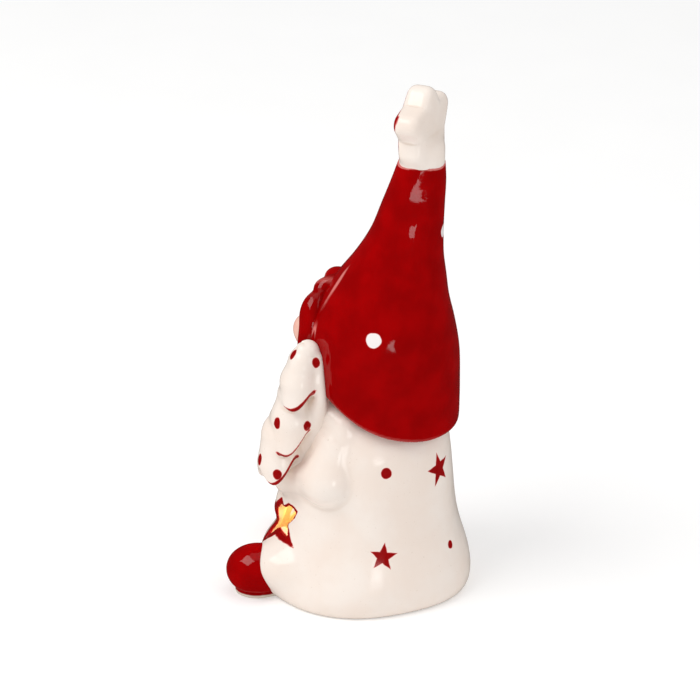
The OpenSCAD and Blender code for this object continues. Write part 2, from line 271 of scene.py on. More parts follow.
def hat_form(p):
    z = p[:, 2]
    x, y = p[:, 0], p[:, 1] - hat_middle(z)
    d = (np.hypot(x, y) - hat_radius(z)) * 0.9
    # cloth-like creases that run up from the face, one on each side
    for side in (-1, 1):
        crease = rope(p, [(side * 17.6, -12, 94), (side * 13.6, -8.6, 105),
                          (side * 9.2, -3.2, 114.5), (side * 6.2, 3.5, 124)],
                      [0.2, 0.35, 0.3, 0.05])
        uneven = 0.35 + 0.3 * np.sin(z * 0.31 + side)
        d = -blend_min(-d, crease + uneven, 0.7)
    # a flat pressed into the left side of the neck, and softer dents elsewhere
    lean = (p - np.array([9.2, 20.6, 144.5])) @ np.array([0.904, 0.416, 0.10])
    d = blend_max(d, lean + 0.7 - 0.014 * (z - 144.5) ** 2, 1.0)
    for centre, r, depth in (((24, 16, 84), 15, 0.7), ((22, -4, 92), 12, 0.5),
                             ((-23, 14, 90), 14, 0.6), ((9, 31, 76), 13, 0.5),
                             ((9, 22, 132), 8, 0.35), ((-6, 30, 100), 12, 0.5)):
        d = d + depth * np.exp(-((np.linalg.norm(p - np.array(centre), axis=1) / r) ** 2))
    return d


def hat(p):
    z = p[:, 2]
    outer = hat_form(p)
    d = blend_max(outer, (hat_edge(p[:, 1]) - z) * 0.85, 1.9)
    round_top = np.arctan2(p[:, 0], p[:, 1] - hat_middle(HAT_TOP))
    d = blend_max(d, z - HAT_TOP + 0.5 + 0.4 * np.sin(3 * round_top + 0.5), 0.3)
    face = np.hypot(p[:, 0] / FACE_RX, (z - FACE_Z) / FACE_RZ)
    opening = np.maximum((face - 1) * FACE_RX, p[:, 1] - 2)
    inside = np.maximum(outer + WALL, z - HAT_TOP + 6)
    for cut in (inside, opening):
        d = blend_max(d, -cut, 1.0)
    return d


def brim_shape(t):
    """How far the roll is drawn back at an angle around the face, and its radius."""
    across = np.abs(np.cos(t))
    over = 1 / (1 + np.exp(-np.sin(t) / 0.08))
    crown = over * np.exp(-((across / 0.42) ** 2))
    pinch = over * np.exp(-(((across - 0.55) / 0.13) ** 2))
    return 6.9 * crown, 4.3 - 1.3 * crown - 1.5 * pinch


def hat_brim(p):
    """The roll around the face: up one side, over the forehead and down the other."""
    wide, high = FACE_RX + 2.0, FACE_RZ + 2.2
    t = np.radians(np.linspace(-42, 222, 99))
    line = np.stack([wide * np.cos(t), -14.3 + brim_shape(t)[0], FACE_Z + high * np.sin(t)], 1)
    here = np.arctan2((p[:, 2] - FACE_Z) / high, p[:, 0] / wide)
    d = rope(p, line, np.zeros(len(line))) - brim_shape(here)[1]
    # the roll's skin is drawn a little towards the hat, like a turned-up edge
    return d + 0.15 * np.sin(p[:, 2] * 0.55 + 0.8 * np.sin(p[:, 0] * 0.3))


# ---------------------------------------------------------------- hat star
STAR_R = 13.6
STAR_TURN = -8.0
BLUNT = 4.0  # radius of its rounded points
star_low, star_high = corners("hat_star")
STAR_MIDDLE = np.array([0, (star_low + star_high)[1] / 2 - 0.7, star_high[2] - STAR_R - 0.1])


def star_face(q):
    """Distance to the star's blunt outline, seen along its own front."""
    _, along = facing(STAR_TURN)
    a = np.radians([90, 121, 150, 193, 234, 270, 306, 342, 17, 54])
    reach = (STAR_R - BLUNT) * np.where(np.arange(10) % 2, 0.62, 1.0)
    reach[[2, 8]] *= 1.08
    corners_flat = list(zip(reach * np.cos(a), reach * np.sin(a)))
    return outline(q @ along, q[:, 2], corners_flat) - BLUNT


def hat_star(p):
    out, _ = facing(STAR_TURN)
    q = p - STAR_MIDDLE
    pillow = np.abs(q @ out) - 5.1 + 0.004 * (q[:, 0] ** 2 + q[:, 2] ** 2)
    d = blend_max(star_face(q), pillow, 3.2)
    foot = np.hypot(p[:, 0], p[:, 1] - hat_middle(HAT_TOP)) - 7.55
    foot = blend_max(foot, p[:, 2] - HAT_TOP - 8, 4)
    d = blend_min(d, foot, 2.5)
    return blend_max(d, HAT_TOP - 1.6 - p[:, 2], 0.6)


def star_edge(p):
    """Distance from the star's own outline, for the line painted around its face."""
    q = p - STAR_MIDDLE
    near_arm = np.linalg.norm(q - np.array([11, -4, 4.5]), axis=1)
    return {"edge": star_face(q) - 1.1 * np.exp(-((near_arm / 4.5) ** 2))}


# ---------------------------------------------------------------- tree
# Each tier: the middles and radii of its bell from the top down, then its lower edge:
# (height, rise towards the back, depth of the scallops, which way a lobe points).
TIERS = [
    (((22.2, -12.3, 91.1), (22.4, -13.3, 87.1), (22.7, -14.6, 79.9), (22.8, -14.7, 69)),
     (3.8, 5.5, 7.0, 7.3), (73.3, 0.53, 1.7, 6)),
    (((21.0, -16.5, 81), (21.0, -17.3, 74.5), (21.1, -17.4, 65.4), (21.1, -17.4, 49)),
     (3.6, 5.8, 8.3, 8.8), (57.1, 0.6, 2.7, 5)),
    (((20.2, -21.8, 64), (20.4, -22.0, 59), (21.2, -22.1, 48.4), (21.2, -22.1, 36)),
     (4.8, 7.1, 8.3, 8.4), (46.1, 0.52, 3.2, 6)),
]
LOBES = 3
# The red lines on each tier: (angle from the front, half length in degrees, half width)
TIER_LINES = (
    ((111, 65, 1.25), (-46, 44, 0.9)),
    ((100, 89, 0.55), (-46, 44, 0.9), (80, 24, 0.85)),
    ((117, 53, 1.35), (-48, 44, 1.0)),
)


def tier_fields(p, tier):
    """A tier's bell, its scalloped lower edge and how near a spot is to a lobe."""
    path, radii, (height, rise, depth, turn) = tier
    x, y = p[:, 0] - path[2][0], p[:, 1] - path[2][1]
    lobe = np.cos(LOBES * (np.arctan2(y, x) - math.radians(turn)))
    bell = limb(p, path[0], path[1], radii[0], radii[1])
    for i in (1, 2):
        bell = blend_min(bell, limb(p, path[i], path[i + 1], radii[i], radii[i + 1]), 0.8)
    reach = np.clip(np.hypot(x, y) / radii[2], 0, 1)
    edge = height + rise * y - depth * lobe * reach
    edge = edge + 0.35 * (-x).clip(0) + 0.45 * (-y - 5).clip(0)
    return bell - 0.3 * lobe, (edge - p[:, 2]) * 0.75, lobe


def tree(p):
    d = np.full(len(p), 1e3)
    for tier in TIERS:
        bell, under, _ = tier_fields(p, tier)
        d = blend_min(d, blend_max(bell, under, 1.6), 0.8)
    web = rope(p, [(15, -17, 45), (16.5, -13, 61), (17.5, -9.8, 75), (19, -9, 83)],
               [7.6, 7.0, 4.6, 2.4])
    seam = rope(p, [(18.5, -11, 58), (21.2, -9.2, 68), (23.6, -7.3, 75.5), (23.5, -7.5, 81),
                    (22.9, -7.9, 85.4), (21.8, -8.7, 89.2)], [4.5, 3.6, 2.0, 1.6, 1.3, 1.0])
    return blend_min(blend_min(d, web, 1.2), seam, 2.4)


def tree_rim(p):
    """Distance to the brush lines along the tier edges, which thin out at their ends."""
    d = np.full(len(p), 1e3)
    for tier, lines in zip(TIERS, TIER_LINES, strict=True):
        bell, under, _ = tier_fields(p, tier)
        x, y = p[:, 0] - tier[0][2][0], p[:, 1] - tier[0][2][1]
        along = np.hypot(bell.clip(-9, 0.3) + 0.4, under + 0.4)
        for middle_way, half_way, half_width in lines:
            turn = np.degrees(np.arctan2(x, -y)) - middle_way
            turn = (turn + 180) % 360 - 180
            width = half_width * (1 - (turn / half_way) ** 2).clip(-1, 1)
            d = np.minimum(d, along - width)
    return d


# ---------------------------------------------------------------- head, beard, hands, shoes
HEAD_R = 21.3
HEAD_TOP_GAP = 0.2  # the face's own clay lies this much inside the CAD head
HEAD = middle("head")
HEAD[2] = corners("head")[1][2] - HEAD_R - HEAD_TOP_GAP
NOSE = np.array([0, -20.0, 89.4])


def head(p):
    d = ball(p, HEAD, HEAD_R)
    for side in (-1, 1):
        d = blend_min(d, ball(p, (side * 7.2, -14.0, 87), 4.6), 2.5)
        d = -blend_min(-d, ball(p, (side * 4.9, -19.2, 94.6), 1.6) + 0.2, 2.4)
    neck = np.maximum(np.hypot(p[:, 0], p[:, 1]) - 15, np.abs(p[:, 2] - 66) - 4)
    d = blend_min(d, neck, 2)
    return blend_max(d, 62.6 - p[:, 2], 0.5)


def nose(p):
    d = egg(p, NOSE, (4.9, 4.7, 5.5))
    for side in (-1, 1):
        d = blend_min(d, ball(p, NOSE + np.array([side * 2.8, 0.2, -2.4]), 2.4), 2)
    return d


def beard(p):
    x, y, z = p.T
    fall = np.clip((78 - z) / 30, 0, 1)
    wide = 12.5 * (1 - 0.62 * fall**1.2)
    shift = -2.2 * fall
    front = -16.6 - 5.6 * fall
    s = (x - shift) / wide
    deep = 6.4 - 2.0 * fall
    q = np.sqrt(s**2 + ((y - front) / deep) ** 2)
    d = (q - 1) * deep * 0.8
    d = blend_max(d, z - 81, 4)
    tips = np.abs(np.sin(s * 5.0 + 0.4)) * 2.2
    d = blend_max(d, 48.5 + 6 * s**2 - tips - z, 2.4)
    locks = np.sin(s * 11 + 1.1 * np.sin(z * 0.26 + s * 2))
    d = d - 0.42 * locks - 0.16 * np.sin(s * 25 + 1.6 * np.sin(z * 0.22))
    for side in (-1, 1):
        path = [(side * 0.8, -20.4, 83.4), (side * 4.6, -19.4, 82.0), (side * 8.2, -17.4, 79.8),
                (side * 10.4, -15.8, 81.4)]
        whisker = rope(p, path, [2.2, 2.6, 1.9, 0.8])
        whisker = whisker - 0.22 * np.sin(z * 2.6 + x * side * 0.9)
        d = blend_min(d, whisker, 0.7)
    return d


def hand(p, side):
    d = blend_min(ball(p, (side * 12.0, -24.0, 42.4), 4.0),
                  ball(p, (side * 8.4, -25.9, 42.5), 3.7), 3)
    for i in range(3):
        knuckle = (side * (6.0 - 0.3 * i), -26.7 + 0.4 * abs(i - 1), 44.8 - 2.4 * i)
        d = blend_min(d, limb(p, (side * 9.4, -26.0, 44.2 - 1.9 * i), knuckle, 1.6, 1.35), 0.6)
    return blend_min(d, limb(p, (side * 11.4, -25.4, 45), (side * 8.8, -26.4, 47.2), 1.7, 1.3), 0.8)


def shoe(p, side):
    q = p * np.array([side, 1, 1])
    q[:, 2] = q[:, 2].clip(2.2)  # straight down to the sole below the widest part
    d = egg(q, (25.2, -32.0, 8.4), (8.4, 8.8, 8.2))
    d = blend_min(d, limb(q, (24.2, -28, 8.6), (20, -19, 10), 8.0, 9.0), 4)
    welt = np.abs(p[:, 2] - 1.7)
    d = d + 0.3 * np.exp(-((welt / 0.4) ** 2))
    # the heel ends just under the robe's skin
    return np.maximum(blend_max(d, -p[:, 2], 0.7), -bell_form(p) - 1.2)


# ---------------------------------------------------------------- meshes


def slopes(field, p):
    """Gradient of a field by central differences."""
    h = 0.05
    g = np.empty_like(p)
    for i in range(3):
        step = np.zeros(3)
        step[i] = h
        g[:, i] = (field(p + step) - field(p - step)) / (2 * h)
    return g


def on_surface(field, p, rounds=3):
    """Moves points onto a field's surface."""
    for _ in range(rounds):
        g = slopes(field, p)
        p = p - (field(p) / np.maximum((g**2).sum(1), 0.05))[:, None].clip(-1, 1) * g
    return p


def sample(field, low, high, step):
    """The field on a regular grid, worked out slice by slice."""
    axes = [np.arange(a, b + step, step) for a, b in zip(low, high, strict=True)]
    y, z = (a.ravel() for a in np.meshgrid(axes[1], axes[2], indexing="ij"))
    values = np.empty([len(a) for a in axes], np.float32)
    for i, x in enumerate(axes[0]):
        p = np.stack([np.full(len(y), x), y, z], 1)
        values[i] = field(p).reshape(len(axes[1]), len(axes[2]))
    return values


def clay(name, node, field, low, high, step, material, extra=None):
    """A closed mesh of a field, as the piece that stands for a CAD node."""
    low, high = np.array(low, float), np.array(high, float)
    grid = openvdb.FloatGrid()
    grid.copyFromArray(sample(field, low, high, step))
    points, quads = grid.convertToQuads(isovalue=0)
    points = on_surface(field, points.astype(float) * step + low)
    mesh = bpy.data.meshes.new(name)
    quads = quads.astype(np.int32)
    a, b, c = (points[quads[:, i]] for i in (0, 1, 2))
    if np.einsum("ij,ij->i", a, np.cross(b, c)).sum() < 0:
        quads = quads[:, ::-1].copy()
    mesh.vertices.add(len(points))
    mesh.vertices.foreach_set("co", (points / MM).astype(np.float32).ravel())
    mesh.loops.add(quads.size)
    mesh.loops.foreach_set("vertex_index", quads.ravel())
    mesh.polygons.add(len(quads))
    mesh.polygons.foreach_set("loop_start", np.arange(0, quads.size, 4, dtype=np.int32))
    mesh.polygons.foreach_set("use_smooth", np.ones(len(quads), bool))
    mesh.update(calc_edges=True)
    mesh.validate()
    h = 0.9
    bend = -6 * field(points)
    for i in range(3):
        for sign in (-1, 1):
            shift = np.zeros(3)
            shift[i] = sign * h
            bend = bend + field(points + shift)
    attributes = {"bend": bend / h**2}
    attributes.update(extra(points) if extra else {})
    for key, values in attributes.items():
        layer = mesh.attributes.new(key, "FLOAT", "POINT")
        layer.data.foreach_set("value", values.astype(np.float32))
    piece = bpy.data.objects.new(name, mesh)
    bpy.context.scene.collection.objects.link(piece)
    mesh.materials.append(material)
    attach(piece, "root")
    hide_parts(node)
    return piece


# ---------------------------------------------------------------- shader building


class Shader:
    """A material's node tree with short calls for what the glazes need."""

    def __init__(self, name):
        self.material = bpy.data.materials.new(name)
        self.material.use_nodes = True
        self.tree = self.material.node_tree
        self.tree.nodes.clear()
        self.out = self.node("ShaderNodeOutputMaterial")
        self.bsdf = self.node("ShaderNodeBsdfPrincipled")
        self.tree.links.new(self.bsdf.outputs[0], self.out.inputs[0])
        coords = self.node("ShaderNodeTexCoord")
        self.place = self.vector("SCALE", coords.outputs["Object"], scale=MM)

    def node(self, kind, **settings):
        made = self.tree.nodes.new(kind)
        for key, value in settings.items():
            setattr(made, key, value)
        return made

    def put(self, socket, value):
        if isinstance(value, bpy.types.NodeSocket):
            self.tree.links.new(value, socket)
        else:
            socket.default_value = value

    def vector(self, operation, a, b=None, scale=None):
        made = self.node("ShaderNodeVectorMath", operation=operation)
        self.put(made.inputs[0], a)
        if b is not None:
            self.put(made.inputs[1], b)
        if scale is not None:
            self.put(made.inputs["Scale"], scale)
        single = operation in ("DOT_PRODUCT", "DISTANCE", "LENGTH")
        return made.outputs["Value" if single else "Vector"]

    def math(self, operation, a, b=None, c=None):
        made = self.node("ShaderNodeMath", operation=operation)
        for i, value in enumerate((a, b, c)):
            if value is not None:
                self.put(made.inputs[i], value)
        return made.outputs[0]

    def noise(self, size, detail, rough=0.5, colour=False):
        """Noise whose features are about size millimetres across."""
        made = self.node("ShaderNodeTexNoise")
        self.put(made.inputs["Vector"], self.place)
        made.inputs["Scale"].default_value = 1.0 / size
        made.inputs["Detail"].default_value = detail
        made.inputs["Roughness"].default_value = rough
        return made.outputs["Color" if colour else "Fac"]

    def ramp(self, value, low, high, to_low=0.0, to_high=1.0):
        made = self.node("ShaderNodeMapRange", interpolation_type="SMOOTHSTEP")
        for i, v in enumerate((value, low, high, to_low, to_high)):
            self.put(made.inputs[i], v)
        return made.outputs[0]

    def mix(self, factor, a, b):
        made = self.node("ShaderNodeMix", data_type="RGBA")
        self.put(made.inputs[0], factor)
        self.put(made.inputs[6], a if isinstance(a, bpy.types.NodeSocket) else (*a, 1))
        self.put(made.inputs[7], b if isinstance(b, bpy.types.NodeSocket) else (*b, 1))
        return made.outputs[2]

    def attribute(self, name):
        return self.node("ShaderNodeAttribute", attribute_name=name).outputs["Fac"]

    def bump(self, height, distance_mm, normal=None):
        made = self.node("ShaderNodeBump")
        made.inputs["Strength"].default_value = 1.0
        made.inputs["Distance"].default_value = distance_mm / MM
        self.put(made.inputs["Height"], height)
        if normal is not None:
            self.put(made.inputs["Normal"], normal)
        return made.outputs[0]

    def wobble(self, size, amount):
        """The place, pushed about by noise, so that painted edges look drawn by hand."""
        noise = self.noise(size, 2.0, colour=True)
        centred = self.vector("SUBTRACT", noise, (0.5, 0.5, 0.5))
        return self.vector("ADD", self.place, self.vector("SCALE", centred, scale=amount))

    def closest(self, fields):
        found = fields[0]
        for other in fields[1:]:
            found = self.math("MINIMUM", found, other)
        return found

    def dots(self, where, marks, tall=1.0):
        """Distance to the nearest of some dabs, each (centre, radius), tall times as high."""
        squash = np.array([1, 1, 1 / tall])
        where = self.vector("MULTIPLY", where, tuple(squash))
        return self.closest([
            self.math("SUBTRACT", self.vector("DISTANCE", where, tuple(c * squash)), r)
            for c, r in marks
        ])

    def star(self, where, centre, across, up, r, inner, turn):
        """Distance to a painted star that lies in the plane of across and up."""
        rel = self.vector("SUBTRACT", where, tuple(centre))
        x = self.vector("DOT_PRODUCT", rel, tuple(across))
        y = self.vector("DOT_PRODUCT", rel, tuple(up))
        sector = 2 * math.pi / 5
        angle = self.math("ADD", self.math("ARCTAN2", x, y), 4 * math.pi + turn)
        fold = self.math("PINGPONG", angle, sector / 2)
        rho = self.vector("LENGTH", rel)
        tip, dip = r, inner * r
        edge = (dip * math.cos(sector / 2) - tip, dip * math.sin(sector / 2))
        tilt = math.atan2(-edge[0], edge[1])
        reach = self.math("COSINE", self.math("SUBTRACT", fold, tilt))
        return self.math("MULTIPLY_ADD", rho, reach, -r * math.cos(tilt))


def glaze(shader, colour, waviness=0.035, haze=0.15, clear=0.8):
    """Glossy ceramic: a coloured body under clear glass that has set in slow waves."""
    s, bsdf = shader, shader.bsdf
    s.put(bsdf.inputs["Base Color"], colour)
    bsdf.inputs["Roughness"].default_value = 0.42
    bsdf.inputs["IOR"].default_value = 1.45
    bsdf.inputs["Specular IOR Level"].default_value = 0.0
    bsdf.inputs["Coat Weight"].default_value = clear
    bsdf.inputs["Coat Roughness"].default_value = haze
    bsdf.inputs["Coat IOR"].default_value = 1.48
    waves = s.bump(s.noise(7.0, 1.0), waviness * 7)
    pores = s.bump(s.noise(1.1, 2.0), waviness * 0.35, waves)
    s.put(bsdf.inputs["Normal"], pores)
    s.put(bsdf.inputs["Coat Normal"], pores)


WHITE_LIT = (0.91, 0.79, 0.705)
# darker, warmer white for creases: painted shade, and glaze pooled there
WHITE_POOL_AND_SHADE = (0.83, 0.70, 0.60)
WHITE_THIN = (0.935, 0.845, 0.775)
RED = (0.360, 0.0002, 0.0008)
RED_DARK = (0.275, 0.0001, 0.0006)
# pink of thinned red: bleeding rims of painted marks, and on the hat's sharp edges also a painted
# highlight
RED_THIN_AND_SHEEN = (0.78, 0.24, 0.22)
CLAY = (0.70, 0.62, 0.53)
SKIN = (0.86, 0.56, 0.44)


def white_body(s):
    """Ivory white: paler in patches where it runs thin, and darker and warmer in creases, as
    painted shade and as glaze that pools there.
    """
    patches = s.noise(16.0, 3.0)
    base = s.mix(s.ramp(patches, 0.3, 0.7), WHITE_LIT, WHITE_THIN)
    # creases darken and warm: painted shade, and the glaze that pools in them
    pool_and_shade = s.ramp(s.attribute("bend"), -0.05, -0.55)
    base = s.mix(s.math("MULTIPLY", pool_and_shade, 0.75), base, WHITE_POOL_AND_SHADE)
    specks = s.noise(0.55, 0.0)
    return s.mix(s.ramp(specks, 0.80, 0.86, 0, 0.30), base, (0.55, 0.42, 0.30))


def red_body(s):
    """Deep red with darker pools and cloudy brush coats."""
    coats = s.noise(9.0, 3.0)
    return s.mix(s.ramp(coats, 0.28, 0.72), RED, RED_DARK)


def paint(s, base, distance, colour_in, rim_in):
    """Paints colour_in where distance is below zero, with a thin bleeding rim."""
    core = s.ramp(distance, -0.02, -0.22)
    tint = s.mix(core, rim_in, colour_in)
    return s.mix(s.ramp(distance, 0.10, -0.06), base, tint)


def bare_foot(s, base, top=0.75):
    """Wiped clay on the ring and soles that stand on the table."""
    height = s.node("ShaderNodeSeparateXYZ")
    s.put(height.inputs[0], s.place)
    ragged = s.math("MULTIPLY_ADD", s.noise(2.5, 2.0), 0.5, height.outputs[2])
    return s.mix(s.ramp(ragged, top, top - 0.35), base, CLAY)


def marks_on(field, spots):
    """Surface points for (angle from the front, height, middle y, size) spots."""
    found = []
    for theta, z, y0, size in spots:
        out, _ = facing(theta)
        lo, hi = 0.0, 60.0
        for _ in range(40):
            t = (lo + hi) / 2
            p = np.array([[0, y0, z]]) + out * t
            lo, hi = (t, hi) if field(p)[0] < 0 else (lo, t)
        found.append((np.array([0, y0, z]) + out * lo, size))
    return found


def flat_frame(field, centre):
    """Across and up directions that lie in the surface at a point."""
    normal = slopes(field, centre[None])[0]
    normal /= np.linalg.norm(normal)
    up = np.array([0, 0, 1.0]) - normal * normal[2]
    up /= np.linalg.norm(up)
    return np.cross(up, normal), up


def robe_solid(p):
    d = bell_form(p)
    for side in (-1, 1):
        d = blend_min(d, sleeve_form(p, side), 3.2)
    return d


# Marks on the robe: (angle from the front, height, middle y, radius), and a star's turn.
ROBE_DOTS = [
    (121, 51.3, 1.5, 1.95), (167.8, 19.2, 1.0, 1.5), (-124, 48, 1.5, 1.9), (-92, 17, 1.0, 1.7),
    (-154, 20, 1.0, 1.5), (-13, 31.5, 1.0, 1.6), (24, 7.5, 0.5, 1.4), (-138, 33, 1.0, 1.5),
]
ROBE_STARS = [
    (165, 47.4, 1.5, 6.3, 0.10), (118.4, 22.0, 1.0, 5.1, -0.16), (-150, 45, 1.5, 5.8, 0.2),
    (-122, 22, 1.0, 5.4, -0.1), (0, 20.5, 0.5, 5.2, 0.12), (-86, 40, 1.5, 4.9, 0.3),
]


def robe_glaze(name):
    s = Shader(name)
    where = s.wobble(3.2, 0.75)
    fields = [s.dots(where, marks_on(robe_solid, ROBE_DOTS))]
    for theta, z, y0, r, turn in ROBE_STARS:
        centre = marks_on(robe_solid, [(theta, z, y0, r)])[0][0]
        across, up = flat_frame(robe_solid, centre)
        fields.append(s.star(where, centre, across, up, r, 0.42, turn))
    fields = [s.math("MAXIMUM", s.closest(fields), s.attribute("depth"))]
    fields.append(s.math("MULTIPLY_ADD", s.noise(1.6, 1.0), 0.5,
                         s.math("SUBTRACT", s.attribute("window"), 0.25)))
    red = red_body(s)
    colour = paint(s, white_body(s), s.closest(fields), red, RED_THIN_AND_SHEEN)
    glaze(s, bare_foot(s, colour))
    return s.material


def white_glaze(name):
    s = Shader(name)
    glaze(s, white_body(s))
    return s.material


# The tree's dots: a place near the surface and the radius.
TREE_DOTS = [
    (24.7, -16.3, 90.5, 1.75), (24.2, -8.9, 88.5, 1.5), (28.9, -21.4, 66.4, 1.75),
    (26.4, -11.1, 65.8, 1.45), (26.2, -28.8, 50.9, 1.7), (29.8, -20.8, 47.9, 1.6),
    (15.5, -17.0, 85, 1.5), (17, -22.0, 79, 1.5), (15.5, -24, 67, 1.6), (19, -26, 61, 1.4),
    (15.5, -29, 51, 1.5), (19.5, -31, 46, 1.4),
]


def tree_glaze(name):
    s = Shader(name)
    where = s.wobble(3.0, 0.8)
    marks = []
    for x, y, z, r in TREE_DOTS:
        spot = on_surface(tree, np.array([[x, y, z]], float), 12)[0]
        marks.append((spot, r))
    rough_rim = s.math("MULTIPLY_ADD", s.noise(2.2, 2.0), 0.4, s.attribute("rim"))
    line = s.math("SUBTRACT", rough_rim, 0.2)
    field = s.math("MINIMUM", s.dots(where, marks, 1.22), line)
    glaze(s, paint(s, white_body(s), field, red_body(s), RED_THIN_AND_SHEEN))
    return s.material


def star_glaze(name):
    """White star with a red line around its front face."""
    s = Shader(name)
    out, _ = facing(STAR_TURN)
    flat = s.attribute("edge")
    rel = s.vector("SUBTRACT", s.place, tuple(STAR_MIDDLE))
    front = s.vector("DOT_PRODUCT", rel, tuple(out))
    wavy = s.math("MULTIPLY_ADD", s.noise(3.0, 1.0), 0.9, flat)
    band = s.math("SUBTRACT", s.math("ABSOLUTE", s.math("ADD", wavy, 1.5)), 0.75)
    only_front = s.math("SUBTRACT", 2.4, front)
    line = s.math("MAXIMUM", band, only_front)
    glaze(s, paint(s, white_body(s), line, red_body(s), RED_THIN_AND_SHEEN))
    return s.material


# The hat's dots: (angle from the front, height, middle y, radius).
HAT_DOTS = [
    (101.4, 98.9, 6.4, 2.6), (186, 130.4, 15, 2.25), (-138, 92, 6.5, 2.6), (-52, 98, 7, 2.4),
    (-100, 118, 12, 2.3), (-14, 124, 13, 2.1), (-88, 78, 6.5, 2.5), (-150, 112, 10, 2.2),
    (-60, 141, 17, 1.8), (208, 80, 6.5, 2.4),
]


def hat_glaze(name, marks):
    """Deep red, pink on sharp edges as painted highlight and as red glaze running thin, with white
    dots from a thick brush where marks are given.
    """
    s = Shader(name)
    # sharp edges turn pink: painted highlight, and red glaze running thin there
    edge = s.ramp(s.attribute("bend"), 0.34, 0.95)
    base = s.mix(s.math("MULTIPLY", edge, 0.8), red_body(s), RED_THIN_AND_SHEEN)
    if marks:
        where = s.wobble(3.0, 0.7)
        field = s.dots(where, marks_on(hat_form, marks))
        base = paint(s, base, field, (0.93, 0.88, 0.87), (0.85, 0.45, 0.44))
    glaze(s, base if marks else bare_foot(s, base, 1.6), 0.055, 0.06, 0.66)
    return s.material


def skin_glaze(name):
    """Flesh-pink glaze with a rosy blush on the cheeks and two painted eyes."""
    s = Shader(name)
    base = s.mix(s.ramp(s.noise(6.0, 3.0), 0.3, 0.7), SKIN, (0.90, 0.63, 0.52))
    blush = s.dots(s.place, [(np.array([side * 7.4, -17.4, 87.2]), 0.0) for side in (-1, 1)])
    base = s.mix(s.ramp(blush, 5.2, 1.0, 0, 0.75), base, (0.80, 0.20, 0.16))
    eyes = [(on_surface(head, np.array([[side * 4.9, -18.5, 94.8]]), 8)[0], 1.15)
            for side in (-1, 1)]
    field = s.dots(s.wobble(2.0, 0.25), eyes)
    base = paint(s, base, field, (0.012, 0.008, 0.008), (0.10, 0.05, 0.04))
    glaze(s, base, 0.02)
    return s.material


def blush_glaze(name):
    s = Shader(name)
    base = s.mix(s.ramp(s.noise(4.0, 3.0), 0.3, 0.7), (0.88, 0.52, 0.42), (0.90, 0.60, 0.50))
    top = s.ramp(s.vector("DISTANCE", s.place, tuple(NOSE + np.array([0, -5, 1]))), 6.0, 1.5)
    base = s.mix(s.math("MULTIPLY", top, 0.5), base, (0.84, 0.34, 0.28))
    glaze(s, base, 0.02)
    return s.material


# ---------------------------------------------------------------- materials of the light unit


def moulded(name, colour, colour_b, rough, grain_mm, depth_mm, **sockets):
    """Moulded or sawn stuff: two close tones, fine grain and uneven gloss."""
    s = Shader(name)
    s.put(s.bsdf.inputs["Base Color"], s.mix(s.noise(6.0, 4.0), colour, colour_b))
    uneven = s.ramp(s.noise(2.0, 3.0), 0.2, 0.8, rough - 0.08, rough + 0.08)
    s.put(s.bsdf.inputs["Roughness"], uneven)
    grain = s.bump(s.noise(grain_mm, 3.0, rough=0.65), depth_mm)
    s.put(s.bsdf.inputs["Normal"], grain)
    for key, value in sockets.items():
        s.bsdf.inputs[key.replace("_", " ")].default_value = value
    return s.material


LIGHT_COLOUR = (1.0, 0.54, 0.11, 1)
unit_looks = {
    "white_abs": moulded("white_abs", (0.80, 0.79, 0.75), (0.74, 0.73, 0.69), 0.42, 0.35, 0.02),
    "frosted": moulded("frosted", (0.95, 0.86, 0.70), (0.92, 0.80, 0.62), 0.5, 0.3, 0.02,
                       Emission_Color=LIGHT_COLOUR, Emission_Strength=3.0),
    "led_epoxy": moulded("led_epoxy", (1.0, 0.80, 0.40), (0.98, 0.72, 0.30), 0.2, 0.5, 0.005,
                         Emission_Color=LIGHT_COLOUR, Emission_Strength=8.0),
    "board": moulded("board", (0.02, 0.17, 0.07), (0.03, 0.22, 0.09), 0.35, 0.4, 0.01),
    "black_plastic": moulded("black_plastic", (0.02, 0.02, 0.022), (0.035, 0.035, 0.037),
                             0.5, 0.3, 0.015),
    "wire_jacket": moulded("wire_jacket", (0.45, 0.02, 0.015), (0.38, 0.015, 0.012),
                           0.45, 0.4, 0.01),
    "spring_metal": moulded("spring_metal", (0.80, 0.60, 0.28), (0.72, 0.50, 0.22),
                            0.28, 0.25, 0.008, Metallic=1.0),
    "steel": moulded("steel", (0.66, 0.66, 0.68), (0.56, 0.56, 0.58), 0.26, 0.3, 0.008,
                     Metallic=1.0),
    "silicone": moulded("silicone", (0.10, 0.10, 0.11), (0.14, 0.14, 0.15), 0.6, 0.5, 0.02),
}
for entry in frame["record"]["subparts"]:
    look = unit_looks.get(entry["material_slot"])
    if look:
        carried = frame["nodes"][entry["node"]].data
        carried.materials.clear()
        carried.materials.append(look)

